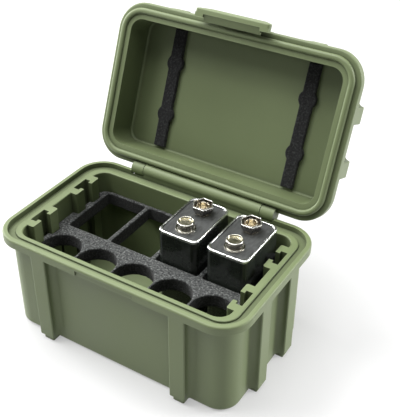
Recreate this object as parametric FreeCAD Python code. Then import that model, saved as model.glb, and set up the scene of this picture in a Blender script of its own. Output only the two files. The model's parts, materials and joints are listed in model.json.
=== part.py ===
import FreeCAD, Part

import math
import os

os.makedirs("parts", exist_ok=True)

Vector = FreeCAD.Vector

# Nine-volt batteries
battery_length = 26.7
battery_breadth = 17.8
battery_height = 45.8
battery_corner_radius = 2.5
sleeve_thickness = 0.25
sleeve_gap = 0.03
crimp_height = 1.3
crimp_width = 0.6
crimp_edge_radius = 0.25
crimp_seam = 0.35
bottom_crimp_height = 0.8
plate_recess = 0.7
plate_thickness = 0.8
plate_side_gap = 0.1
plate_corner_radius = 3.4
terminal_pitch = 12.95
stud_height = 3.8
socket_height = 4.2
flange_thickness = 0.3
stud_flange_radius = 4.1
stud_flange_rim = 0.35
stud_neck_radius = 3.1
stud_head_radius = 3.45
stud_head_height = 1.3
stud_well_radius = 2.75
stud_well_depth = 0.9
stud_skin = 0.4
socket_across_flats = 8.0
socket_wall = 0.45
socket_taper = 1.2
socket_rim_height = 1.2
petal_radius = 2.6
petal_thickness = 0.4
petal_drop = 0.6
petal_slit = 0.5
rivet_radius = 1.5
rivet_head_radius = 2.0
rivet_head_height = 0.5
loaded_pockets = (2, 3)

# Foam
foam_thickness = 6.0
foam_top = 35.5
foam_wall_gap = 0.3
foam_rail_gap = 0.2
foam_tab_gap = 0.3
foam_tab_reach = 1.6
foam_end_edge = 1.7
foam_front_edge = 2.1
foam_middle_web = 5.6
foam_back_edge = 1.7
pocket_count = 4
pocket_web = 2.0
pocket_end_gap = 1.1
pocket_side_gap = 0.65
pocket_corner_radius = 0.6
cell_hole_count = 5
cell_hole_diameter = 17.0
cell_hole_edge = 0.4
strip_width = 5.6
strip_thickness = 2.0
strip_bulge_diameter = 8.0
strip_bulge_offset = 11.4
strip_end_gap = 0.3

# Outer shells
base_height = 46.5
lid_height = 16.4
end_wall_thickness = 8.3
side_wall_thickness = 7.0
corner_radius = 12.4
band_height = 3.6
band_edge_radius = 0.8
wall_recess = 3.8
bottom_edge_radius = 2.0
lid_edge_radius = 4.0
parting_gap = 0.15

# Inside of the base
opening_radius = 5.4
floor_top = 4.6
floor_corner_radius = 1.2

# Rim: groove in the base and tongue on the lid, measured inward from the outer face
lip_width = 2.0
groove_inner = 5.0
groove_drop = 2.3
bead_drop = 1.5
bead_edge_radius = 0.5
tongue_gap = 0.25
tongue_drop = 1.9
tongue_edge_radius = 1.1
land_drop = 0.7

# Outside ribs and feet
rib_width = 7.0
rib_root_radius = 2.6
rib_edge_radius = 0.6
long_rib_offset = 32.0
end_rib_offset = 11.0
rib_foot_height = 2.6
foot_inset = 1.0
lid_rib_height = 11.0
lid_rib_slope = 3.2

# Divider rails on the end walls
rail_offset = 13.75
rail_pair_width = 15.4
rail_depth = 3.0
rail_lip = 1.7
rail_edge_radius = 0.8
slot_width = 8.2
slot_mouth = 5.2
slot_wall_depth = 1.45
ledge_width = 8.0
ledge_depth = 2.0

# Inside of the lid
lid_end_wall = 7.0
lid_side_wall = 7.0
lid_ceiling = 14.0
ceiling_radius = 1.0

# Hinge
hinge_offset = 0.95
hinge_rise = 0.7
barrel_radius = 3.1
barrel_length = 57.4
knuckle_length = 6.0
knuckle_gap = 0.3
knuckle_clearance = 0.4
hinge_pin_radius = 1.2
hinge_end_wall = 1.5
pin_fixed_clearance = 0.03
pin_running_clearance = 0.07
lid_open_angle = 112.0
stop_clearance = 0.1
heel_length = 3.9

# Latch
latch_width = 33.4
latch_stem_width = 19.0
latch_thickness = 2.0
latch_crown = 0.5
latch_stand_off = 1.1
latch_edge_radius = 0.5
latch_corner_radius = 0.8
latch_end_height = 2.6
latch_taper_height = 6.5
latch_cheek_depth = 3.3
latch_pin_radius = 0.9
latch_pin_rise = 6.6
latch_pin_depth = 1.7
latch_barrel_radius = 1.8
latch_side_gap = 0.3
lug_radius = 1.7
lug_width = 3.5
hook_width = 25.8
hook_reach = 2.9
hook_thickness = 2.3
hook_nose = 0.5
hook_gap = 0.2
catch_relief = 0.5
latch_stop_gap = 0.15

# Worked out from the sizes above
pocket_length = battery_breadth + 2 * pocket_end_gap
pocket_width = battery_length + 2 * pocket_side_gap
pocket_row_length = pocket_count * pocket_length + (pocket_count - 1) * pocket_web
opening_length = pocket_row_length + 2 * (foam_end_edge + foam_rail_gap + rail_depth)
opening_width = (2 * foam_wall_gap + foam_front_edge + cell_hole_diameter
                 + foam_middle_web + pocket_width + foam_back_edge)
case_length = opening_length + 2 * end_wall_thickness
case_width = opening_width + 2 * side_wall_thickness
half_length = case_length / 2
half_width = case_width / 2
lid_bottom = base_height + parting_gap
lid_top = base_height + lid_height
ceiling_z = base_height + lid_ceiling
lid_opening_length = case_length - 2 * lid_end_wall
lid_opening_width = case_width - 2 * lid_side_wall
bead_top = base_height - bead_drop
band_bottom = base_height - band_height
end_wall = opening_length / 2
rail_face = end_wall - rail_depth
foam_bottom = foam_top - foam_thickness
cell_hole_reach = rail_face - foam_rail_gap - cell_hole_edge
cell_hole_pitch = (2 * cell_hole_reach - cell_hole_diameter) / (cell_hole_count - 1)
cell_row = -opening_width / 2 + foam_wall_gap + foam_front_edge + cell_hole_diameter / 2
pocket_row = opening_width / 2 - foam_wall_gap - foam_back_edge - pocket_width / 2
hinge_y = half_width + hinge_offset
hinge_z = base_height + hinge_rise
latch_pin_y = -half_width + latch_pin_depth
latch_pin_z = base_height + latch_pin_rise
cut_margin = 5.0


def rounded_outline(length, width, radius, z):
    """Closed wire of a rectangle with round corners, centred on the origin."""
    a = length / 2
    b = width / 2
    r = radius
    q = r * math.sqrt(0.5)
    edges = []
    for sx, sy, along_y in ((1, -1, True), (1, 1, False), (-1, 1, True), (-1, -1, False)):
        cx = sx * (a - r)
        cy = sy * (b - r)
        side = Vector(sx * a, cy, z)
        face = Vector(cx, sy * b, z)
        start, end = (face, side) if along_y else (side, face)
        edges.append(Part.Arc(start, Vector(cx + sx * q, cy + sy * q, z), end).toShape())
    outline = []
    for i, arc in enumerate(edges):
        outline.append(arc)
        tail = arc.Vertexes[-1].Point
        head = edges[(i + 1) % 4].Vertexes[0].Point
        outline.append(Part.makeLine(tail, head))
    return Part.Wire(outline)


def rounded_prism(length, width, radius, z, height):
    """Solid rectangle with round vertical corners."""
    face = Part.Face(rounded_outline(length, width, radius, z))
    return face.extrude(Vector(0, 0, height))


def inset_prism(inset, z, height):
    """Prism of the case's outline, set in by the same amount all round."""
    return rounded_prism(case_length - 2 * inset, case_width - 2 * inset,
                         max(corner_radius - inset, 0.5), z, height)


def block(x0, x1, y0, y1, z0, z1):
    return Part.makeBox(x1 - x0, y1 - y0, z1 - z0, Vector(x0, y0, z0))


def rod(radius, x0, x1, y, z):
    """Cylinder along the length of the case."""
    return Part.makeCylinder(radius, x1 - x0, Vector(x0, y, z), Vector(1, 0, 0))


def side_profile(points, x0, x1):
    """Extrude a closed outline of (y, z) points along the case's length."""
    corners = [Vector(x0, y, z) for y, z in points]
    face = Part.Face(Part.makePolygon(corners + corners[:1]))
    return face.extrude(Vector(x1 - x0, 0, 0))


def edges_at_height(shape, z, level=0.01):
    """Edges that lie wholly at one height."""
    found = []
    for edge in shape.Edges:
        box = edge.BoundBox
        if abs(box.ZMin - z) < level and abs(box.ZMax - z) < level:
            found.append(edge)
    return found


def upright_edges(shape):
    """Straight edges that stand parallel to the height."""
    return [edge for edge in shape.Edges
            if edge.BoundBox.XLength < 0.01 and edge.BoundBox.YLength < 0.01]


def tangent_point(y, z, radius, turn):
    """Point where a line from (y, z) touches a circle about the origin."""
    reach = math.hypot(y, z)
    angle = math.atan2(z, y) + turn * math.acos(radius / reach)
    return radius * math.cos(angle), radius * math.sin(angle)


def mirror_x(shape):
    return shape.mirror(Vector(0, 0, 0), Vector(1, 0, 0))


def rib_section(z):
    """Plan of one rib: outer face on the x axis, hollow fillets into the wall behind."""
    half = rib_width / 2
    root = rib_root_radius
    edge = rib_edge_radius
    depth = wall_recess
    bury = 1.0
    dip = 1 - math.sqrt(0.5)
    half_outline = [
        Part.makeLine(Vector(-half - root, depth + bury, z), Vector(-half - root, depth, z)),
        Part.Arc(Vector(-half - root, depth, z),
                 Vector(-half - root * dip, depth - root * dip, z),
                 Vector(-half, depth - root, z)).toShape(),
        Part.makeLine(Vector(-half, depth - root, z), Vector(-half, edge, z)),
        Part.Arc(Vector(-half, edge, z), Vector(-half + edge * dip, edge * dip, z),
                 Vector(-half + edge, 0, z)).toShape(),
    ]
    mirrored = [mirror_x(edge_shape) for edge_shape in half_outline]
    closing = [
        Part.makeLine(Vector(-half + edge, 0, z), Vector(half - edge, 0, z)),
        Part.makeLine(Vector(-half - root, depth + bury, z), Vector(half + root, depth + bury, z)),
    ]
    pieces = Part.sortEdges(half_outline + mirrored + closing)[0]
    return Part.Face(Part.Wire(pieces))


def around_case(shape):
    """Copies of a rib-side shape at every rib position on the four sides."""
    copies = []
    for turn, reach, offset in ((0, half_width, long_rib_offset), (180, half_width, long_rib_offset),
                                (90, half_length, end_rib_offset), (270, half_length, end_rib_offset)):
        for side in (-1, 1):
            copy = shape.copy()
            copy.translate(Vector(side * offset, -reach, 0))
            copy.rotate(Vector(0, 0, 0), Vector(0, 0, 1), turn)
            copies.append(copy)
    return copies


def base_rib():
    rib = rib_section(rib_foot_height).extrude(Vector(0, 0, band_bottom + 1 - rib_foot_height))
    half_foot = rib_width / 2 - foot_inset
    foot = block(-half_foot, half_foot, foot_inset, wall_recess + 2.5, 0, rib_foot_height + 0.5)
    foot = foot.makeFillet(0.6, [e for e in upright_edges(foot) if e.BoundBox.YMax < wall_recess])
    return rib.fuse(foot)


def lid_rib():
    rib = rib_section(lid_bottom + 1).extrude(Vector(0, 0, lid_rib_height + lid_rib_slope))
    shoulder = base_height + lid_rib_height
    top = lid_top + cut_margin
    run = (top - shoulder) * wall_recess / lid_rib_slope
    slope = side_profile([(-1, shoulder), (0, shoulder), (run, top), (-1, top)],
                         -rib_width, rib_width)
    return rib.cut(slope)


def rail_block(z0, z1):
    """One pair of hooked rails on the right end wall, before its slot is cut."""
    half = rail_pair_width / 2
    body = block(rail_face, end_wall + 1, rail_offset - half, rail_offset + half, z0, z1)
    return body.makeFillet(rail_edge_radius,
                           [e for e in upright_edges(body) if e.BoundBox.XMax < end_wall])


def rail_slot(z0, z1):
    """Wide pocket behind the two lips and the narrow mouth between them."""
    pocket = block(rail_face + rail_lip, end_wall + slot_wall_depth,
                   rail_offset - slot_width / 2, rail_offset + slot_width / 2, z0, z1)
    mouth = block(rail_face - 1, rail_face + rail_lip + 0.5,
                  rail_offset - slot_mouth / 2, rail_offset + slot_mouth / 2, z0, z1)
    return pocket.fuse(mouth)


def four_ends(shape):
    """A right-hand, back-half shape repeated on both end walls and both halves."""
    pair = [shape, shape.mirror(Vector(0, 0, 0), Vector(0, 1, 0))]
    return pair + [mirror_x(s) for s in pair]


def hinge_web(y, z, turn, x0, x1):
    """Web from a hinge barrel to a point on the band, as (y, z) from the hinge axis."""
    touch_y, touch_z = tangent_point(y, z, barrel_radius, turn)
    root = -hinge_offset - lip_width * 0.75
    points = [(0, 0), (touch_y, touch_z), (y, z), (root, z), (root, 0)]
    return side_profile([(hinge_y + a, hinge_z + b) for a, b in points], x0, x1)


def make_base():
    wall = inset_prism(wall_recess, 0, base_height - band_height / 2)
    wall = wall.makeFillet(bottom_edge_radius, edges_at_height(wall, 0))
    band = inset_prism(0, band_bottom, band_height)
    band = band.makeFillet(band_edge_radius, edges_at_height(band, base_height))
    shell = wall.fuse([band] + around_case(base_rib()))

    cavity = rounded_prism(opening_length, opening_width, opening_radius, floor_top,
                           base_height + cut_margin - floor_top)
    cavity = cavity.makeFillet(floor_corner_radius, edges_at_height(cavity, floor_top))
    step = inset_prism(lip_width, bead_top, cut_margin)
    groove = inset_prism(lip_width, base_height - groove_drop, groove_drop)
    groove = groove.cut(inset_prism(groove_inner, base_height - groove_drop, groove_drop))
    shell = shell.cut([cavity, step, groove])
    shell = shell.makeFillet(bead_edge_radius, edges_at_height(shell, bead_top))

    rails = four_ends(rail_block(floor_top - 0.5, bead_top))
    ledges = [block(end_wall - ledge_depth, end_wall + 0.5, -ledge_width / 2, ledge_width / 2,
                    floor_top - 0.5, foam_bottom)]
    ledges.append(mirror_x(ledges[0]))
    shell = shell.fuse(rails + ledges)
    shell = shell.cut(four_ends(rail_slot(floor_top, base_height - bead_drop + 0.5)))

    half_barrel = barrel_length / 2
    barrel = rod(barrel_radius, -half_barrel, half_barrel, hinge_y, hinge_z)
    web = hinge_web(-hinge_offset, band_bottom - hinge_z, 1, -half_barrel, half_barrel)
    shell = shell.fuse([barrel, web])
    ends = half_barrel + knuckle_length + 2 * knuckle_gap
    for x0, x1 in ((half_barrel, ends), (-ends, -half_barrel)):
        shell = shell.cut(rod(barrel_radius + knuckle_clearance, x0, x1, hinge_y, hinge_z))
    shell = shell.cut(rod(hinge_pin_radius + pin_fixed_clearance,
                          -half_barrel - 1, half_barrel + 1, hinge_y, hinge_z))

    relief = block(-hook_width / 2 - latch_side_gap, hook_width / 2 + latch_side_gap,
                   -half_width - 1, -half_width + catch_relief,
                   band_bottom - 1, band_bottom + band_height * 0.6)
    return shell.cut(relief).removeSplitter()


def opened(shape):
    """Turn a lid piece from the closed place, where it is drawn, to the open one."""
    turned = shape.copy()
    turned.rotate(Vector(0, hinge_y, hinge_z), Vector(1, 0, 0), -lid_open_angle)
    return turned


def stop_heel(x0, x1):
    """Heel of a lid knuckle, drawn in the open place, where it meets the base's band."""
    face = -hinge_offset + stop_clearance
    inner = barrel_radius * 0.7
    points = [(face, -inner), (face, -heel_length), (face + 1.4, -heel_length),
              (barrel_radius * 0.8, -inner)]
    return side_profile([(hinge_y + a, hinge_z + b) for a, b in points], x0, x1)


def make_lid():
    wall = inset_prism(wall_recess, lid_bottom, lid_top - lid_bottom)
    wall = wall.makeFillet(lid_edge_radius, edges_at_height(wall, lid_top))
    band = inset_prism(0, lid_bottom, band_height)
    band = band.makeFillet(band_edge_radius, edges_at_height(band, lid_bottom))
    land = inset_prism(lip_width + tongue_gap, base_height - land_drop, land_drop + 1)
    tongue = inset_prism(lip_width + tongue_gap, base_height - tongue_drop, tongue_drop + 1)
    tongue = tongue.cut(inset_prism(groove_inner - tongue_gap, base_height - tongue_drop,
                                    tongue_drop + 1))
    tongue = tongue.makeFillet(tongue_edge_radius,
                               edges_at_height(tongue, base_height - tongue_drop))
    shell = wall.fuse([band, land, tongue] + around_case(lid_rib()))

    cavity = rounded_prism(lid_opening_length, lid_opening_width, opening_radius,
                           base_height - cut_margin, lid_ceiling + cut_margin)
    cavity = cavity.makeFillet(ceiling_radius, edges_at_height(cavity, ceiling_z))
    shell = shell.cut(cavity)

    half_barrel = barrel_length / 2
    room = rod(barrel_radius + knuckle_clearance, -half_barrel - knuckle_gap,
               half_barrel + knuckle_gap, hinge_y, hinge_z)
    shell = shell.cut(room)
    near = half_barrel + knuckle_gap
    far = near + knuckle_length
    band_top = lid_bottom + band_height
    for x0, x1 in ((near, far), (-far, -near)):
        knuckle = rod(barrel_radius, x0, x1, hinge_y, hinge_z)
        web = hinge_web(-hinge_offset, band_top - hinge_z, -1, x0, x1)
        heel = stop_heel(x0, x1)
        heel.rotate(Vector(0, hinge_y, hinge_z), Vector(1, 0, 0), lid_open_angle)
        shell = shell.fuse([knuckle, web, heel])
    shell = shell.cut(rod(hinge_pin_radius + pin_running_clearance,
                          -far - 1, far - hinge_end_wall, hinge_y, hinge_z))

    near = latch_stem_width / 2 + latch_side_gap
    far = near + lug_width
    for x0, x1 in ((near, far), (-far, -near)):
        lug = rod(lug_radius, x0, x1, latch_pin_y, latch_pin_z)
        web = block(x0, x1, latch_pin_y, -half_width + wall_recess + 1,
                    latch_pin_z - lug_radius, latch_pin_z + lug_radius)
        shell = shell.fuse([lug, web])
    shell = shell.cut(rod(latch_pin_radius + pin_fixed_clearance, -far - 1, far + 1,
                          latch_pin_y, latch_pin_z))
    return opened(shell.removeSplitter())


def make_hinge_pin():
    far = barrel_length / 2 + knuckle_gap + knuckle_length
    pin = rod(hinge_pin_radius, -far + 0.5, far - hinge_end_wall - 0.2, hinge_y, hinge_z)
    return pin.makeChamfer(0.3, [e for e in pin.Edges if len(e.Vertexes) == 1])


def latch_outline(bottom):
    """Front view of the latch: a wide pull at the bottom and a narrower stem."""
    half = latch_width / 2
    stem = latch_stem_width / 2
    shoulder = bottom + latch_end_height
    neck = shoulder + latch_taper_height
    top = latch_pin_z + cut_margin
    points = [(-half, bottom), (half, bottom), (half, shoulder), (stem, neck), (stem, top),
              (-stem, top), (-stem, neck), (-half, shoulder)]
    corners = [Vector(x, -half_width - cut_margin, z) for x, z in points]
    outline = Part.Face(Part.makePolygon(corners + corners[:1]))
    outline = outline.extrude(Vector(0, 2 * cut_margin, 0))
    across = [e for e in outline.Edges
              if e.BoundBox.YLength > cut_margin and abs(e.BoundBox.XMin) > half - 0.01]
    return outline.makeFillet(latch_corner_radius, across)


def make_latch():
    inner = -half_width - latch_stand_off
    outer = inner - latch_thickness
    hook_top = band_bottom - hook_gap
    bottom = hook_top - hook_thickness
    reach = latch_barrel_radius
    crown_z = bottom + latch_end_height + latch_taper_height / 2
    neck_z = latch_pin_z - reach - latch_stand_off
    touch_y, touch_z = tangent_point(outer - latch_pin_y, neck_z - latch_pin_z, reach, -1)
    latch = side_profile([(outer, bottom), (outer - latch_crown, crown_z), (outer, neck_z),
                          (latch_pin_y + touch_y, latch_pin_z + touch_z),
                          (latch_pin_y, latch_pin_z), (latch_pin_y, latch_pin_z - reach),
                          (inner, latch_pin_z - reach - latch_stand_off / 2), (inner, bottom)],
                         -latch_width, latch_width)
    latch = latch.common(latch_outline(bottom))
    rim = [e for e in latch.Edges if e.BoundBox.YMax < outer + 0.01]
    latch = latch.makeFillet(latch_edge_radius, rim)

    tip = inner + hook_reach
    ramp = outer + latch_thickness * 0.8
    hook = side_profile([(ramp, bottom), (tip, hook_top - hook_nose), (tip, hook_top),
                         (ramp, hook_top)], -hook_width / 2, hook_width / 2)
    stem = latch_stem_width / 2
    barrel = rod(reach, -stem, stem, latch_pin_y, latch_pin_z)
    stop = block(-stem, stem, inner - 0.5, -half_width - latch_stop_gap,
                 lid_bottom + 0.4, lid_bottom + band_height - 0.2)
    cheeks = [block(x0, x1, ramp, outer + latch_cheek_depth, bottom, hook_top)
              for x0, x1 in ((hook_width / 2, latch_width / 2), (-latch_width / 2, -hook_width / 2))]
    latch = latch.fuse([hook, barrel, stop] + cheeks)
    latch = latch.cut(rod(latch_pin_radius + pin_running_clearance, -stem - 1, stem + 1,
                          latch_pin_y, latch_pin_z))
    return opened(latch.removeSplitter())


def make_latch_pin():
    half = latch_stem_width / 2 + latch_side_gap + lug_width - 0.4
    pin = rod(latch_pin_radius, -half, half, latch_pin_y, latch_pin_z)
    return opened(pin.makeChamfer(0.2, [e for e in pin.Edges if len(e.Vertexes) == 1]))


def make_foam_insert():
    sheet = rounded_prism(opening_length - 2 * foam_wall_gap, opening_width - 2 * foam_wall_gap,
                          opening_radius - foam_wall_gap, foam_bottom, foam_thickness)
    half_notch = rail_pair_width / 2 + foam_rail_gap
    notch = block(rail_face - foam_rail_gap, end_wall + 1, rail_offset - half_notch,
                  rail_offset + half_notch, foam_bottom - 1, foam_top + 1)
    half_tab = slot_mouth / 2 - foam_tab_gap
    tab = block(rail_face - foam_rail_gap - 0.5, rail_face + foam_tab_reach,
                rail_offset - half_tab, rail_offset + half_tab, foam_bottom, foam_top)
    sheet = sheet.cut(four_ends(notch)).fuse(four_ends(tab))
    cuts = []
    for i in range(cell_hole_count):
        x = (i - (cell_hole_count - 1) / 2) * cell_hole_pitch
        cuts.append(Part.makeCylinder(cell_hole_diameter / 2, foam_thickness,
                                      Vector(x, cell_row, foam_bottom)))
    for i in range(pocket_count):
        pocket = rounded_prism(pocket_length, pocket_width, pocket_corner_radius,
                               foam_bottom, foam_thickness)
        pocket.translate(Vector(pocket_x(i), pocket_row, 0))
        cuts.append(pocket)
    return sheet.cut(cuts)


def pocket_x(i):
    """Middle of the i-th rectangular pocket, from the left."""
    return (i - (pocket_count - 1) / 2) * (pocket_length + pocket_web)


def make_lid_strip(side):
    half = lid_opening_width / 2 - ceiling_radius - strip_end_gap
    z = ceiling_z - strip_thickness
    strip = block(-strip_width / 2, strip_width / 2, -half, half, z, ceiling_z)
    bulges = [Part.makeCylinder(strip_bulge_diameter / 2, strip_thickness,
                                Vector(0, end * strip_bulge_offset, z)) for end in (-1, 1)]
    strip = strip.fuse(bulges).removeSplitter()
    strip.translate(Vector(side * long_rib_offset, 0, 0))
    return opened(strip)


def battery_can():
    """Steel can, drawn about its own middle and standing on z = 0."""
    slim = 2 * (sleeve_thickness + sleeve_gap)
    body = rounded_prism(battery_breadth - slim, battery_length - slim,
                         battery_corner_radius - slim / 2, 0, battery_height)
    top_rim = rounded_prism(battery_breadth, battery_length, battery_corner_radius,
                            battery_height - crimp_height, crimp_height)
    top_rim = top_rim.makeFillet(crimp_edge_radius, edges_at_height(top_rim, battery_height))
    foot_rim = rounded_prism(battery_breadth, battery_length, battery_corner_radius,
                             0, bottom_crimp_height)
    seat = plate_prism(0, battery_height - plate_recess - plate_thickness, 2)
    base_seat = plate_prism(0, 0, plate_thickness)
    seam = block(-crimp_seam / 2, crimp_seam / 2, -battery_length / 2 - 1,
                 -battery_length / 2 + crimp_width + 0.5,
                 battery_height - crimp_height + 0.1, battery_height + 1)
    return body.fuse([top_rim, foot_rim]).cut([seat, base_seat, seam])


def plate_prism(side_gap, z, height):
    """Outline of the plates that the can's crimped edges hold."""
    inset = crimp_width + side_gap
    return rounded_prism(battery_breadth - 2 * inset, battery_length - 2 * inset,
                         plate_corner_radius - side_gap, z, height)


def battery_sleeve():
    z = bottom_crimp_height + sleeve_gap
    height = battery_height - crimp_height - sleeve_gap - z
    outer = rounded_prism(battery_breadth, battery_length, battery_corner_radius, z, height)
    inner = rounded_prism(battery_breadth - 2 * sleeve_thickness,
                          battery_length - 2 * sleeve_thickness,
                          battery_corner_radius - sleeve_thickness, z, height)
    return outer.cut(inner)


def terminal_plate():
    z = battery_height - plate_recess - plate_thickness
    plate = plate_prism(plate_side_gap, z, plate_thickness)
    holes = [Part.makeCylinder(rivet_radius, plate_thickness, Vector(0, y, z))
             for y in (-terminal_pitch / 2, terminal_pitch / 2)]
    return plate.cut(holes)


def bottom_plate():
    return plate_prism(plate_side_gap, 0.1, plate_thickness - 0.1)


def snap_stud():
    """Male snap: a drawn cup with a flange, a neck and a rolled head, open inside over its rivet."""
    z = battery_height - plate_recess
    head = stud_head_radius
    shoulder = stud_height - stud_head_height
    well = stud_height - stud_well_depth
    profile = [(rivet_radius, 0), (stud_flange_radius, 0),
               (stud_flange_radius, flange_thickness + stud_flange_rim),
               (stud_flange_radius - 0.45, flange_thickness + stud_flange_rim),
               (stud_flange_radius - 0.6, flange_thickness),
               (stud_neck_radius, flange_thickness),
               (stud_neck_radius, shoulder), (head, shoulder + 0.5), (head, stud_height - 0.25),
               (head - 0.25, stud_height), (stud_well_radius + 0.2, stud_height),
               (stud_well_radius, well), (0, well), (0, well - stud_skin),
               (rivet_head_radius + 0.1, well - stud_skin), (rivet_head_radius + 0.1, flange_thickness),
               (rivet_radius, flange_thickness)]
    return lathe(profile, -terminal_pitch / 2, z)


def lathe(profile, y, z):
    """Turn an outline of (radius, height) points about an upright axis."""
    corners = [Vector(r, 0, h) for r, h in profile]
    face = Part.Face(Part.makePolygon(corners + corners[:1]))
    solid = face.revolve(Vector(0, 0, 0), Vector(0, 0, 1), 360)
    solid.translate(Vector(0, y, z))
    return solid


def hexagon(across_flats, z):
    reach = across_flats / math.sqrt(3)
    corners = [Vector(reach * math.cos(math.radians(60 * i)), reach * math.sin(math.radians(60 * i)), z)
               for i in range(7)]
    return Part.makePolygon(corners)


def six_sided_cup(across_flats, z, height):
    """Six-sided cup that widens from its foot up to an upright rim."""
    rings = [hexagon(across_flats - 2 * socket_taper, z),
             hexagon(across_flats, z + height - socket_rim_height),
             hexagon(across_flats, z + height)]
    return Part.makeLoft(rings, True, True)


def snap_socket():
    """Female snap: a six-sided crown around a ring of spring petals."""
    top = socket_height - flange_thickness
    crown = six_sided_cup(socket_across_flats, 0, socket_height)
    bowl = six_sided_cup(socket_across_flats - 2 * socket_wall, flange_thickness, socket_height)
    petals = Part.makeCylinder(petal_radius, top - petal_drop + 0.1,
                               Vector(0, 0, flange_thickness - 0.1))
    petals = petals.cut(Part.makeCylinder(petal_radius - petal_thickness, socket_height))
    slits = []
    for i in range(3):
        slit = block(-petal_radius - 0.3, petal_radius + 0.3, -petal_slit / 2, petal_slit / 2,
                     flange_thickness * 2, socket_height)
        slit.rotate(Vector(0, 0, 0), Vector(0, 0, 1), 60 * i + 30)
        slits.append(slit)
    socket = crown.cut(bowl).fuse(petals.cut(slits))
    socket = socket.cut(Part.makeCylinder(rivet_radius, socket_height))
    socket.translate(Vector(0, terminal_pitch / 2, battery_height - plate_recess))
    return socket


def rivets():
    """Hollow rivets that hold both snaps to the terminal plate."""
    z = battery_height - plate_recess - plate_thickness
    pair = []
    for y in (-terminal_pitch / 2, terminal_pitch / 2):
        shank_top = plate_thickness + flange_thickness
        pair.append(lathe([(0, 0), (rivet_radius, 0), (rivet_radius, shank_top),
                           (rivet_head_radius, shank_top),
                           (rivet_head_radius - 0.2, shank_top + rivet_head_height * 0.6),
                           (rivet_radius * 0.6, shank_top + rivet_head_height),
                           (0, shank_top + rivet_head_height * 0.5)], y, z))
    return Part.makeCompound(pair)


battery_pieces = {
    "can": battery_can,
    "sleeve": battery_sleeve,
    "terminal_plate": terminal_plate,
    "bottom_plate": bottom_plate,
    "snap_stud": snap_stud,
    "snap_socket": snap_socket,
    "rivets": rivets,
}

nodes = {
    "base_shell": make_base(),
    "lid_shell": make_lid(),
    "hinge_pin": make_hinge_pin(),
    "latch": make_latch(),
    "latch_pin": make_latch_pin(),
    "foam_insert": make_foam_insert(),
    "lid_strip_left": make_lid_strip(-1),
    "lid_strip_right": make_lid_strip(1),
}
for number, pocket in enumerate(loaded_pockets, 1):
    for piece, make_piece in battery_pieces.items():
        shape = make_piece()
        shape.translate(Vector(pocket_x(pocket), pocket_row, floor_top))
        nodes[f"battery_{number}_{piece}"] = shape

for name, shape in nodes.items():
    shape.exportStep(f"parts/{name}.step")
    print(name, "valid", shape.isValid(), "solids", len(shape.Solids), "volume", round(shape.Volume, 1))
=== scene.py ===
import json
import math

import bpy
from mathutils import Matrix, Vector, noise


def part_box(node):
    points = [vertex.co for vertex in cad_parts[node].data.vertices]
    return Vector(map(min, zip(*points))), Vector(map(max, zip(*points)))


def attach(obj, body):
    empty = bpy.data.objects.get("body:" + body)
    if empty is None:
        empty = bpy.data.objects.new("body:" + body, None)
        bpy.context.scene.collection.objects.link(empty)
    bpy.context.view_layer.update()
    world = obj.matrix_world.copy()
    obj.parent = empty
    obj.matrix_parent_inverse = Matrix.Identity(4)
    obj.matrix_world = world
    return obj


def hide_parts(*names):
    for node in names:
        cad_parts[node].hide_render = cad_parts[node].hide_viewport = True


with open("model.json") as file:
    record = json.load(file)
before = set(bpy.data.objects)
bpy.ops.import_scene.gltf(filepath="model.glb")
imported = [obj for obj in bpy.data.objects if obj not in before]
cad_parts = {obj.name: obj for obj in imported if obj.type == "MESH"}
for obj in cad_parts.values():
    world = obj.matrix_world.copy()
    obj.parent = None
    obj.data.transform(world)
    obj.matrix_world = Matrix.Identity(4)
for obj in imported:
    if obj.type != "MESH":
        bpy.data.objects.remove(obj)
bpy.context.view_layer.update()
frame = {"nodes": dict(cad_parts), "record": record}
print("frame loaded")

mm = 0.001

# the lid's own pieces are drawn on the shut case, then turned about the hinge to where the lid
# stands open
lidHinge = next(j for j in frame["record"]["behaviour"]["joints"] if j["name"] == "lid_hinge")
hingePoint = Vector(lidHinge["pos_m"])
lidOpening = math.radians(lidHinge["range_deg"][1])


def openedLid():
    turn = Matrix.Rotation(-lidOpening, 4, "X")
    return Matrix.Translation(hingePoint) @ turn @ Matrix.Translation(-hingePoint)


# small helpers for wiring up materials
# a noise is given as scale, detail and roughness, and a bump as strength and depth
# a span is the pair of values between which a ramp blends

middleSpan = (0.3, 0.7)  # where most of a noise's values lie
cornerFinder = {
    "span": (0.80, 0.99),
    "bevelSamples": 6,
    "opennessSamples": 8,
}


def newMaterial(name):
    material = bpy.data.materials.new(name)
    material.use_nodes = True
    nodes = material.node_tree.nodes
    shader = next(n for n in nodes if n.type == "BSDF_PRINCIPLED")
    return material, nodes, material.node_tree.links, shader


def objectPoints(nodes, links, stretch=(1.0, 1.0, 1.0)):
    coordinates = nodes.new("ShaderNodeTexCoord")
    mapping = nodes.new("ShaderNodeMapping")
    mapping.inputs["Scale"].default_value = stretch
    links.new(coordinates.outputs["Object"], mapping.inputs["Vector"])
    return mapping.outputs["Vector"]


def noiseNode(nodes, links, points, scale, detail, roughness):
    texture = nodes.new("ShaderNodeTexNoise")
    texture.inputs["Scale"].default_value = scale
    texture.inputs["Detail"].default_value = detail
    texture.inputs["Roughness"].default_value = roughness
    links.new(points, texture.inputs["Vector"])
    return texture.outputs["Fac"]


def rampNode(nodes, links, source, span, colours):
    ramp = nodes.new("ShaderNodeValToRGB")
    for element, place, colour in zip(ramp.color_ramp.elements, span, colours):
        element.position = place
        element.color = (*colour, 1.0)
    links.new(source, ramp.inputs["Fac"])
    return ramp.outputs["Color"]


def greyRamp(nodes, links, source, low, high, span=middleSpan):
    return rampNode(nodes, links, source, span, ((low,) * 3, (high,) * 3))


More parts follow.
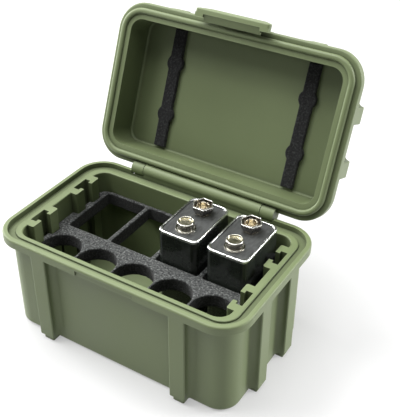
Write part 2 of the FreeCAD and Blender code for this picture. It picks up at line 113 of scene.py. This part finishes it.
def bumpNode(nodes, links, height, strength, distance, below=None):
    bump = nodes.new("ShaderNodeBump")
    bump.inputs["Strength"].default_value = strength
    bump.inputs["Distance"].default_value = distance
    links.new(height, bump.inputs["Height"])
    if below is not None:
        links.new(below, bump.inputs["Normal"])
    return bump.outputs["Normal"]


def mathNode(nodes, links, operation, first, second):
    step = nodes.new("ShaderNodeMath")
    step.operation = operation
    for socket, value in zip(step.inputs, (first, second)):
        if isinstance(value, (int, float)):
            socket.default_value = value
        else:
            links.new(value, socket)
    return step.outputs[0]


def mixColours(nodes, links, factor, first, second):
    mix = nodes.new("ShaderNodeMix")
    mix.data_type = "RGBA"
    sockets = (mix.inputs["Factor"], mix.inputs[6], mix.inputs[7])  # 6 and 7 are the two colours
    for socket, value in zip(sockets, (factor, first, second)):
        if isinstance(value, tuple):
            socket.default_value = (*value, 1.0)
        else:
            links.new(value, socket)
    return mix.outputs[2]


def roundedNormal(nodes, radius):
    bevel = nodes.new("ShaderNodeBevel")
    bevel.samples = cornerFinder["bevelSamples"]
    bevel.inputs["Radius"].default_value = radius
    return bevel.outputs["Normal"]


def edgeMask(nodes, links, radius):
    # bright where a rounded-off normal departs from the true one, which is along corners
    geometry = nodes.new("ShaderNodeNewGeometry")
    dot = nodes.new("ShaderNodeVectorMath")
    dot.operation = "DOT_PRODUCT"
    links.new(roundedNormal(nodes, radius), dot.inputs[0])
    links.new(geometry.outputs["True Normal"], dot.inputs[1])
    return greyRamp(nodes, links, dot.outputs["Value"], 1.0, 0.0, cornerFinder["span"])


def openness(nodes, links, reach):
    # 1 on open faces, falling towards 0 inside narrow hollows
    occlusion = nodes.new("ShaderNodeAmbientOcclusion")
    occlusion.samples = cornerFinder["opennessSamples"]
    occlusion.only_local = True
    occlusion.inputs["Distance"].default_value = reach
    return occlusion.outputs["AO"]


def multiplyColours(nodes, links, first, second):
    product = nodes.new("ShaderNodeVectorMath")
    product.operation = "MULTIPLY"
    links.new(first, product.inputs[0])
    links.new(second, product.inputs[1])
    return product.outputs[0]


def dress(material, *nodeNames):
    for nodeName in nodeNames:
        mesh = frame["nodes"][nodeName].data
        mesh.materials.clear()
        mesh.materials.append(material)


# the case: satin moulded plastic with a fine grain, paler along its proud corners (partly wear, partly
# painted highlight), and with painted shade that darkens it in its hollows and tight corners, where it
# is also duller

olivePlastic = {
    "colour": (0.156, 0.194, 0.092),
    "shade": (0.141, 0.177, 0.081),
    # edge: paler colour along proud corners, partly wear and partly painted highlight
    "edge": (0.200, 0.240, 0.130),
    "edgeRadius": 0.45 * mm,
    # the hollow and corner settings below darken the colour in hollows and tight corners: painted shade
    "hollowReach": 32.0 * mm,  # how far around a point walls count as closing it in
    "hollowShade": 0.62,
    "hollowSpan": (0.30, 0.95),
    "cornerReach": 3.0 * mm,  # the same for tight corners
    "cornerShade": 0.62,
    "cornerSpan": (0.40, 0.95),
    "proudSpan": (0.80, 0.96),
    "cornerDulling": 0.38,
    "dullingSpan": (0.45, 0.90),
    "clouds": (28.0, 4.0, 0.5),
    "cloudSpan": (0.35, 0.65),
    "grain": (1500.0, 2.0, 0.5),
    "grainBump": (0.2, 0.05 * mm),
    "roughness": (0.45, 0.57),
    "specular": 0.42,
}


def makeOlivePlastic():
    s = olivePlastic
    material, nodes, links, shader = newMaterial("oliveMouldedPlastic")
    points = objectPoints(nodes, links)
    clouds = noiseNode(nodes, links, points, *s["clouds"])
    colour = rampNode(nodes, links, clouds, s["cloudSpan"], (s["shade"], s["colour"]))
    wide = openness(nodes, links, s["hollowReach"])
    tight = openness(nodes, links, s["cornerReach"])
    # painted shade: the colour is darkened inside hollows and tight corners
    paintedHollowShade = greyRamp(nodes, links, wide, s["hollowShade"], 1.0, s["hollowSpan"])
    paintedCornerShade = greyRamp(nodes, links, tight, s["cornerShade"], 1.0, s["cornerSpan"])
    proud = greyRamp(nodes, links, tight, 0.0, 1.0, s["proudSpan"])
    # paler along proud corners: partly edge wear, partly painted highlight
    wearAndHighlight = multiplyColours(nodes, links, edgeMask(nodes, links, s["edgeRadius"]), proud)
    colour = mixColours(nodes, links, wearAndHighlight, colour, s["edge"])
    shaded = multiplyColours(nodes, links, paintedHollowShade, paintedCornerShade)
    links.new(multiplyColours(nodes, links, colour, shaded), shader.inputs["Base Color"])
    dulling = greyRamp(nodes, links, tight, s["cornerDulling"], 0.0, s["dullingSpan"])
    gloss = mathNode(nodes, links, "ADD", greyRamp(nodes, links, clouds, *s["roughness"]), dulling)
    links.new(gloss, shader.inputs["Roughness"])
    grain = noiseNode(nodes, links, points, *s["grain"])
    links.new(bumpNode(nodes, links, grain, *s["grainBump"]), shader.inputs["Normal"])
    shader.inputs["Specular IOR Level"].default_value = s["specular"]
    return material


# plain metals: fine scratches in colour, gloss and height, rolled corners, and painted shade that
# darkens the slits

metals = {
    "crimpSteel": {
        "colour": (0.93, 0.94, 0.93),
        "roughness": (0.14, 0.28),
        "scratches": (900.0, 5.0, 0.6),
        "bump": (0.08, 0.04 * mm),
        "roll": 0.9 * mm,
    },
    "rivetBrass": {
        "colour": (0.84, 0.77, 0.58),
        "roughness": (0.24, 0.38),
        "scratches": (700.0, 5.0, 0.6),
        "bump": (0.10, 0.04 * mm),
        "roll": 0.2 * mm,
    },
    "pinSteel": {
        "colour": (0.55, 0.55, 0.54),
        "roughness": (0.28, 0.42),
        "scratches": (500.0, 5.0, 0.6),
        "bump": (0.15, 0.04 * mm),
        "roll": 0.2 * mm,
    },
}
dullShare = 0.86
# painted shade: the colour is darkened towards the bottom of slits
slitShadeSettings = {
    "reach": 0.7 * mm,
    "shade": 0.06,  # share of the colour left at the bottom of a slit
    "span": (0.35, 0.75),
}


def finishMetal(made, colour, marks, roughness, rounded, bump):
    material, nodes, links, shader = made
    links.new(colour, shader.inputs["Base Color"])
    links.new(greyRamp(nodes, links, marks, *roughness), shader.inputs["Roughness"])
    links.new(bumpNode(nodes, links, marks, *bump, rounded), shader.inputs["Normal"])
    shader.inputs["Metallic"].default_value = 1.0
    return material


def makeMetal(name):
    s = metals[name]
    made = newMaterial(name)
    nodes, links = made[1:3]
    marks = noiseNode(nodes, links, objectPoints(nodes, links), *s["scratches"])
    dull = tuple(c * dullShare for c in s["colour"])
    colour = rampNode(nodes, links, marks, middleSpan, (dull, s["colour"]))
    # painted shade inside slits
    tight = openness(nodes, links, slitShadeSettings["reach"])
    paintedSlitShade = greyRamp(nodes, links, tight, slitShadeSettings["shade"], 1.0, slitShadeSettings["span"])
    colour = multiplyColours(nodes, links, colour, paintedSlitShade)
    rolled = roundedNormal(nodes, s["roll"])
    return finishMetal(made, colour, marks, s["roughness"], rolled, s["bump"])


def dressCase():
    dress(makeOlivePlastic(), "base_shell", "lid_shell", "latch")
    dress(makeMetal("pinSteel"), "hinge_pin", "latch_pin")


# the snaps: nickel outside, a rim and foot painted much paler than the nickel side as a painted
# highlight, and a warmer inside

snaps = {
    # rim: a much paler copy of the side's nickel, a painted highlight on the rim and foot
    "snap_stud": {
        "side": (0.24, 0.23, 0.20),
        "rim": (0.66, 0.65, 0.59),
        "inside": (0.54, 0.51, 0.38),
        "insideRadius": 2.85 * mm,
        "rimDepth": 0.14 * mm,
        "footHeight": 0.50 * mm,
        "roughness": (0.16, 0.30),
    },
    "snap_socket": {
        "side": (0.22, 0.21, 0.195),
        "rim": (0.90, 0.89, 0.85),
        "inside": (0.66, 0.60, 0.48),
        "insideRadius": 3.30 * mm,
        "rimDepth": 0.35 * mm,
        "footHeight": 0.10 * mm,
        "roughness": (0.18, 0.32),
    },
}
snapSurface = {
    "marks": (800.0, 5.0, 0.6),
    "bump": (0.05, 0.04 * mm),
    "rounding": 0.35 * mm,
}


def makeSnapMetal(kind, nodeName):
    s = snaps[kind]
    low, high = (Vector(c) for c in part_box(nodeName))
    made = newMaterial(nodeName + "_metal")
    nodes, links = made[1:3]
    points = objectPoints(nodes, links)
    split = nodes.new("ShaderNodeSeparateXYZ")
    links.new(points, split.inputs[0])
    fromAxisX = mathNode(nodes, links, "SUBTRACT", split.outputs["X"], (low.x + high.x) / 2)
    fromAxisY = mathNode(nodes, links, "SUBTRACT", split.outputs["Y"], (low.y + high.y) / 2)
    squareX = mathNode(nodes, links, "MULTIPLY", fromAxisX, fromAxisX)
    squareY = mathNode(nodes, links, "MULTIPLY", fromAxisY, fromAxisY)
    square = mathNode(nodes, links, "ADD", squareX, squareY)
    inside = mathNode(nodes, links, "LESS_THAN", square, s["insideRadius"] ** 2)
    onRim = mathNode(nodes, links, "GREATER_THAN", split.outputs["Z"], high.z - s["rimDepth"])
    onFoot = mathNode(nodes, links, "LESS_THAN", split.outputs["Z"], low.z + s["footHeight"])
    # painted highlight: the rim and foot take a much paler copy of the side's nickel
    paintedRimHighlight = mathNode(nodes, links, "MAXIMUM", onRim, onFoot)
    colour = mixColours(nodes, links, paintedRimHighlight, s["side"], s["rim"])
    colour = mixColours(nodes, links, inside, colour, s["inside"])
    marks = noiseNode(nodes, links, points, *snapSurface["marks"])
    colour = multiplyColours(nodes, links, colour, greyRamp(nodes, links, marks, dullShare, 1.0))
    rounded = roundedNormal(nodes, snapSurface["rounding"])
    return finishMetal(made, colour, marks, s["roughness"], rounded, snapSurface["bump"])


# the battery jacket: glossy film with faint upright ripples, left bare

blackJacket = {
    "colour": (0.019, 0.0225, 0.0195),
    "haze": (0.030, 0.035, 0.030),
    "scuffs": (260.0, 5.0, 0.7),
    "scuffSpan": (0.4, 0.7),
    "rippleStretch": (1.0, 1.0, 0.06),
    "ripples": (300.0, 1.0, 0.5),
    "rippleBump": (0.35, 0.12 * mm),
    "roughness": (0.14, 0.26),
    "specular": 0.4,
    "coat": 0.35,
    "coatRoughness": 0.06,
}


def makeJacket():
    s = blackJacket
    material, nodes, links, shader = newMaterial("glossBlackJacket")
    scuffs = noiseNode(nodes, links, objectPoints(nodes, links), *s["scuffs"])
    colour = rampNode(nodes, links, scuffs, s["scuffSpan"], (s["colour"], s["haze"]))
    links.new(colour, shader.inputs["Base Color"])
    links.new(greyRamp(nodes, links, scuffs, *s["roughness"]), shader.inputs["Roughness"])
    ripples = noiseNode(nodes, links, objectPoints(nodes, links, s["rippleStretch"]), *s["ripples"])
    links.new(bumpNode(nodes, links, ripples, *s["rippleBump"]), shader.inputs["Normal"])
    shader.inputs["Specular IOR Level"].default_value = s["specular"]
    shader.inputs["Coat Weight"].default_value = s["coat"]
    shader.inputs["Coat Roughness"].default_value = s["coatRoughness"]
    return material


# the terminal board: pressed fibre with its grain along the battery's length

terminalBoard = {
    "colour": (0.020, 0.0215, 0.0205),
    "thread": (0.046, 0.049, 0.047),
    "grainStretch": (1.0, 0.16, 1.0),
    "grain": (2200.0, 3.0, 0.6),
    "grainSpan": (0.40, 0.62),
    "grainBump": (0.35, 0.08 * mm),
    "roughness": (0.42, 0.60),
}


def makeBoard():
    s = terminalBoard
    material, nodes, links, shader = newMaterial("greyTerminalBoard")
    grain = noiseNode(nodes, links, objectPoints(nodes, links, s["grainStretch"]), *s["grain"])
    colour = rampNode(nodes, links, grain, s["grainSpan"], (s["colour"], s["thread"]))
    links.new(colour, shader.inputs["Base Color"])
    links.new(greyRamp(nodes, links, grain, *s["roughness"]), shader.inputs["Roughness"])
    links.new(bumpNode(nodes, links, grain, *s["grainBump"]), shader.inputs["Normal"])
    return material


def dressBatteries():
    steel, brass = makeMetal("crimpSteel"), makeMetal("rivetBrass")
    jacket, board = makeJacket(), makeBoard()
    for number in (1, 2):
        prefix = f"battery_{number}_"
        dress(steel, prefix + "can")
        dress(jacket, prefix + "sleeve")
        dress(board, prefix + "terminal_plate", prefix + "bottom_plate")
        dress(brass, prefix + "rivets")
        for kind in snaps:
            dress(makeSnapMetal(kind, prefix + kind), prefix + kind)


# foam: closed cells, dark in the pits and flecked with grey

foams = {
    # each foam's side share darkens its upright faces: painted shade
    "charcoalFoam": {
        "pit": (0.010, 0.010, 0.011),
        "body": (0.054, 0.057, 0.055),
        "fleck": (0.155, 0.162, 0.156),
        "sideShadeShare": 0.20,
    },
    "blackFoam": {
        "pit": (0.003, 0.003, 0.003),
        "body": (0.010, 0.010, 0.011),
        "fleck": (0.030, 0.032, 0.031),
        "sideShadeShare": 0.90,
    },
}
foamCells = {
    "pores": (900.0, 3.0, 0.65),
    "poreSpan": (0.38, 0.54),
    "poreBump": (0.8, 0.3 * mm),
    "flecks": (1300.0, 1.0, 0.5),
    "fleckSpan": (0.52, 0.66),
    "fleckShare": 0.9,
    "sideSpan": (0.45, 0.85),
    "roughness": 0.9,
    "specular": 0.2,
    "sheen": 0.1,
    "sheenRoughness": 0.6,
}


def makeFoam(name):
    s, cells = foams[name], foamCells
    material, nodes, links, shader = newMaterial(name)
    points = objectPoints(nodes, links)
    pores = noiseNode(nodes, links, points, *cells["pores"])
    flecks = noiseNode(nodes, links, points, *cells["flecks"])
    colour = rampNode(nodes, links, pores, cells["poreSpan"], (s["pit"], s["body"]))
    lit = greyRamp(nodes, links, flecks, 0.0, cells["fleckShare"], cells["fleckSpan"])
    colour = mixColours(nodes, links, lit, colour, s["fleck"])
    # painted shade: the upright cut sides are darker than the top face
    faces = nodes.new("ShaderNodeSeparateXYZ")
    links.new(nodes.new("ShaderNodeTexCoord").outputs["Normal"], faces.inputs[0])
    paintedSideShade = greyRamp(nodes, links, faces.outputs["Z"], s["sideShadeShare"], 1.0, cells["sideSpan"])
    links.new(multiplyColours(nodes, links, colour, paintedSideShade), shader.inputs["Base Color"])
    links.new(bumpNode(nodes, links, pores, *cells["poreBump"]), shader.inputs["Normal"])
    shader.inputs["Roughness"].default_value = cells["roughness"]
    shader.inputs["Specular IOR Level"].default_value = cells["specular"]
    shader.inputs["Sheen Weight"].default_value = cells["sheen"]
    shader.inputs["Sheen Roughness"].default_value = cells["sheenRoughness"]
    return material


# foam pieces are drawn flat, extruded and then given an uneven skin

foamShape = {
    "bevelSteps": 2,
    "hillSize": 1.1 * mm,
    "pitSize": 0.5 * mm,
    "pitShare": 0.6,
    "sink": 0.5,  # keeps nearly all hills below the skin as drawn
}


def arcPoints(cx, cy, radius, startAngle, endAngle, steps):
    points = []
    for i in range(steps + 1):
        a = math.radians(startAngle + (endAngle - startAngle) * i / steps)
        points.append((cx + radius * math.cos(a), cy + radius * math.sin(a)))
    return points


def sheetFromLoops(name, loops, low, high, softEdge):
    # a flat sheet with holes: filled curve, extruded and softly rounded along every cut edge
    curve = bpy.data.curves.new(name, "CURVE")
    curve.dimensions = "2D"
    curve.fill_mode = "BOTH"
    curve.extrude = (high - low) / 2 - softEdge
    curve.bevel_depth = softEdge
    curve.bevel_resolution = foamShape["bevelSteps"]
    curve.offset = -softEdge
    for loop in loops:
        spline = curve.splines.new("POLY")
        spline.points.add(len(loop) - 1)
        for point, (x, y) in zip(spline.points, loop):
            point.co = (x, y, 0, 1)
        spline.use_cyclic_u = True
    holder = bpy.data.objects.new(name, curve)
    bpy.context.scene.collection.objects.link(holder)
    bpy.context.view_layer.update()
    mesh = bpy.data.meshes.new_from_object(holder.evaluated_get(bpy.context.evaluated_depsgraph_get()))
    bpy.data.objects.remove(holder)
    mesh.transform(Matrix.Translation((0, 0, (high + low) / 2)))
    piece = bpy.data.objects.new(name, mesh)
    bpy.context.scene.collection.objects.link(piece)
    return piece


def roughenFoam(piece, skin, ripple):
    # an even mesh over the whole skin, then tiny hills and pits in it
    s = foamShape
    remesh = piece.modifiers.new("cells", "REMESH")
    remesh.mode = "VOXEL"
    remesh.voxel_size = skin
    bpy.context.view_layer.update()
    mesh = bpy.data.meshes.new_from_object(piece.evaluated_get(bpy.context.evaluated_depsgraph_get()))
    piece.modifiers.clear()
    piece.data = mesh
    normals = [v.normal.copy() for v in mesh.vertices]
    for vertex, normal in zip(mesh.vertices, normals):
        pits = s["pitShare"] * noise.noise(vertex.co / s["pitSize"])
        hill = noise.noise(vertex.co / s["hillSize"]) + pits
        vertex.co += normal * (hill - s["sink"]) * ripple
    mesh.shade_smooth()


# the insert: one sheet with round holes, oblong pockets and notches round the divider rails

foamInsert = {
    "holeDiameter": 17.0 * mm,
    "holePitch": 17.9 * mm,
    "holeCount": 5,
    "holeRow": -16.6 * mm,
    "holeSides": 60,
    "pocketLength": 20.0 * mm,
    "pocketWidth": 28.0 * mm,
    "pocketPitch": 22.0 * mm,
    "pocketCount": 4,
    "pocketRow": 11.5 * mm,
    "cornerRadius": 5.1 * mm,
    "cornerSteps": 6,
    "notchDepth": 2.9 * mm,
    "notchWidth": 15.8 * mm,
    "notchOffset": 13.75 * mm,
    "tabWidth": 4.6 * mm,
    "tabReach": 1.8 * mm,
    "softEdge": 0.35 * mm,
    "skin": 0.45 * mm,
    "ripple": 0.07 * mm,
}


def arcEnd(radius, halfY, wallStart):
    # angle where the round corner meets the end wall, or the notch where that comes first
    rise = (halfY - radius) + wallStart
    return 0.0 if rise >= 0 else math.degrees(math.asin(min(1.0, -rise / radius)))


def insertOutline(halfX, halfY):
    s = foamInsert
    r = s["cornerRadius"]
    wall = halfX - s["notchDepth"]
    tabEnd = wall + s["tabReach"]
    halfNotch = s["notchWidth"] / 2
    halfTab = s["tabWidth"] / 2
    right = []
    for side in (-1, 1):
        middle = side * s["notchOffset"]
        right += [(halfX, middle - halfNotch), (wall, middle - halfNotch), (wall, middle - halfTab),
                  (tabEnd, middle - halfTab), (tabEnd, middle + halfTab), (wall, middle + halfTab),
                  (wall, middle + halfNotch), (halfX, middle + halfNotch)]
    frontEnd = -arcEnd(r, halfY, right[0][1])
    backStart = arcEnd(r, halfY, -right[-1][1])
    frontCorner = arcPoints(halfX - r, -halfY + r, r, -90, frontEnd, s["cornerSteps"])
    backCorner = arcPoints(halfX - r, halfY - r, r, backStart, 90, s["cornerSteps"])
    side = frontCorner + right + backCorner
    return side + [(-x, y) for x, y in reversed(side)]


def makeInsert():
    s = foamInsert
    low, high = (Vector(c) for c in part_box("foam_insert"))
    loops = [insertOutline(high.x, high.y)]
    lastHoleAngle = 360 - 360 / s["holeSides"]
    for i in range(s["holeCount"]):
        x = (i - (s["holeCount"] - 1) / 2) * s["holePitch"]
        radius = s["holeDiameter"] / 2
        loops.append(arcPoints(x, s["holeRow"], radius, 0, lastHoleAngle, s["holeSides"] - 1))
    for i in range(s["pocketCount"]):
        x = (i - (s["pocketCount"] - 1) / 2) * s["pocketPitch"]
        a, b, row = s["pocketLength"] / 2, s["pocketWidth"] / 2, s["pocketRow"]
        loops.append([(x - a, row - b), (x + a, row - b), (x + a, row + b), (x - a, row + b)])
    piece = sheetFromLoops("foamInsert", loops, low.z, high.z, s["softEdge"])
    roughenFoam(piece, s["skin"], s["ripple"])
    piece.data.materials.clear()
    piece.data.materials.append(makeFoam("charcoalFoam"))
    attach(piece, "foam")
    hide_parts("foam_insert")


# the two strips in the lid: narrow, with two round bulges each

lidStrip = {
    "offset": 32.0 * mm,
    "width": 5.6 * mm,
    "length": 52.4 * mm,
    "thickness": 2.0 * mm,
    "ceiling": 60.5 * mm,  # height of the lid's inner face when it is shut
    "bulgeDiameter": 8.0 * mm,
    "bulgeOffset": 11.4 * mm,
    "bulgeSteps": 12,
    "softEdge": 0.3 * mm,
    "skin": 0.3 * mm,
    "ripple": 0.06 * mm,
}


def stripLoop(offset):
    s = lidStrip
    halfWidth, halfLength = s["width"] / 2, s["length"] / 2
    bulge = s["bulgeDiameter"] / 2
    swing = math.degrees(math.acos(halfWidth / bulge))
    right = [(halfWidth, -halfLength)]
    for end in (-1, 1):
        right += arcPoints(0, end * s["bulgeOffset"], bulge, -swing, swing, s["bulgeSteps"])
    right.append((halfWidth, halfLength))
    loop = right + [(-x, y) for x, y in reversed(right)]
    return [(x + offset, y) for x, y in loop]


def makeStrips():
    s = lidStrip
    foam = makeFoam("blackFoam")
    for side, name in ((-1, "left"), (1, "right")):
        piece = sheetFromLoops(f"lidStrip_{name}", [stripLoop(side * s["offset"])],
                               s["ceiling"] - s["thickness"], s["ceiling"], s["softEdge"])
        roughenFoam(piece, s["skin"], s["ripple"])
        piece.data.transform(openedLid())
        piece.data.materials.clear()
        piece.data.materials.append(foam)
        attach(piece, "lid")
        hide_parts(f"lid_strip_{name}")


# camera, floor and light

shot = {
    "azimuth": 31.71,
    "elevation": 35.11,
    "roll": 0.34,
    "target": Vector((7.24, 20.10, 48.24)) * mm,
    "distance": 328.89 * mm,
    "focalPixels": 806.82,
    "principal": (197.93, 210.13),
    "picture": (400, 417),
    "sensor": 36.0,
    "clip": (0.01, 20.0),
}


def makeCamera():
    s = shot
    azimuth, elevation, roll = (math.radians(s[k]) for k in ("azimuth", "elevation", "roll"))
    forward = Vector((-math.sin(azimuth) * math.cos(elevation), math.cos(azimuth) * math.cos(elevation),
                      -math.sin(elevation)))
    level = Vector((math.cos(azimuth), math.sin(azimuth), 0))
    upright = level.cross(forward)
    right = math.cos(roll) * level + math.sin(roll) * upright
    up = math.cos(roll) * upright - math.sin(roll) * level
    turn = Matrix((right, up, -forward)).transposed().to_4x4()
    data = bpy.data.cameras.new("camera")
    width, height = s["picture"]
    data.sensor_width = s["sensor"]
    data.lens = s["focalPixels"] * s["sensor"] / height
    data.shift_x = (width / 2 - s["principal"][0]) / height
    data.shift_y = (s["principal"][1] - height / 2) / height
    data.clip_start, data.clip_end = s["clip"]
    camera = bpy.data.objects.new("camera", data)
    camera.matrix_world = Matrix.Translation(s["target"] - forward * s["distance"]) @ turn
    bpy.context.scene.collection.objects.link(camera)
    bpy.context.scene.camera = camera


studio = {
    "floorSize": 6.0,
    "floorColour": 0.37,
    "floorRoughness": 0.9,
    "floorGlow": 0.42,
    "fadeStart": 0.28,  # metres from the middle, where the glow starts to rise
    "fadeEnd": 1.1,  # and where it is full
    "fill": 0.0,  # how much light the surroundings give the object
}

lamps = (
    {"name": "leftPanel", "place": (-0.95, 0.00, 0.30), "size": 0.4, "power": 10.6},
    {"name": "rightBackPanel", "place": (0.75, 0.55, 0.40), "size": 0.4, "power": 9.6},
    {"name": "topPanel", "place": (0.00, -0.05, 1.00), "size": 0.6, "power": 6.8},
    {"name": "topBackPanel", "place": (-0.42, 0.20, 0.87), "size": 0.4, "power": 5.6},
    {"name": "keyPanel", "place": (-0.50, -0.30, 0.80), "size": 0.4, "power": 4.6},
)
lampAim = Vector((0.0, 0.0, 30.0)) * mm  # all lamps point here


def makeFloor():
    s = studio
    half = s["floorSize"] / 2
    mesh = bpy.data.meshes.new("floor")
    corners = [(-half, -half, 0), (half, -half, 0), (half, half, 0), (-half, half, 0)]
    mesh.from_pydata(corners, [], [(0, 1, 2, 3)])
    floor = bpy.data.objects.new("floor", mesh)
    bpy.context.scene.collection.objects.link(floor)
    material, nodes, links, shader = newMaterial("paleFloor")
    shader.inputs["Base Color"].default_value = (s["floorColour"],) * 3 + (1.0,)
    shader.inputs["Roughness"].default_value = s["floorRoughness"]
    # it glows a little to the camera, and fully in mirrors and far off, so it looks white and still
    # takes the shadow
    path = nodes.new("ShaderNodeLightPath")
    mirrored = mathNode(nodes, links, "MAXIMUM", path.outputs["Is Glossy Ray"],
                        path.outputs["Is Transmission Ray"])
    away = nodes.new("ShaderNodeVectorMath")
    away.operation = "LENGTH"
    links.new(objectPoints(nodes, links), away.inputs[0])
    fade = nodes.new("ShaderNodeMapRange")
    fade.inputs["From Min"].default_value = s["fadeStart"]
    fade.inputs["From Max"].default_value = s["fadeEnd"]
    fade.inputs["To Min"].default_value = s["floorGlow"]
    links.new(away.outputs["Value"], fade.inputs["Value"])
    seen = mathNode(nodes, links, "MULTIPLY", path.outputs["Is Camera Ray"], fade.outputs["Result"])
    glow = nodes.new("ShaderNodeEmission")
    links.new(mathNode(nodes, links, "ADD", seen, mirrored), glow.inputs["Strength"])
    both = nodes.new("ShaderNodeAddShader")
    links.new(shader.outputs[0], both.inputs[0])
    links.new(glow.outputs[0], both.inputs[1])
    output = next(n for n in nodes if n.type == "OUTPUT_MATERIAL")
    links.new(both.outputs[0], output.inputs["Surface"])
    mesh.materials.append(material)


def makeWorld():
    # white behind everything and in mirrors, while the object gets only the fill from it
    world = bpy.data.worlds.new("studio")
    bpy.context.scene.world = world
    world.use_nodes = True
    nodes, links = world.node_tree.nodes, world.node_tree.links
    background = next(n for n in nodes if n.type == "BACKGROUND")
    path = nodes.new("ShaderNodeLightPath")
    rays = mathNode(nodes, links, "MAXIMUM", path.outputs["Is Camera Ray"],
                    path.outputs["Is Glossy Ray"])
    rays = mathNode(nodes, links, "MAXIMUM", rays, path.outputs["Is Transmission Ray"])
    level = nodes.new("ShaderNodeMapRange")
    level.inputs["To Min"].default_value = studio["fill"]
    level.inputs["To Max"].default_value = 1.0
    links.new(rays, level.inputs["Value"])
    links.new(level.outputs["Result"], background.inputs["Strength"])
    background.inputs["Color"].default_value = (1, 1, 1, 1)


def makeLamps():
    for s in lamps:
        data = bpy.data.lights.new(s["name"], "AREA")
        data.shape = "DISK"
        data.size = s["size"]
        data.energy = s["power"]
        lamp = bpy.data.objects.new(s["name"], data)
        place = Vector(s["place"])
        lamp.location = place
        lamp.rotation_euler = (lampAim - place).to_track_quat("-Z", "Y").to_euler()
        bpy.context.scene.collection.objects.link(lamp)


def main():
    makeCamera()
    makeFloor()
    makeWorld()
    makeLamps()
    bpy.context.scene.view_settings.view_transform = "Standard"
    print("studio ready")
    dressCase()
    dressBatteries()
    print("moulded and metal pieces dressed")
    makeInsert()
    makeStrips()
    print("foam cut")


main()
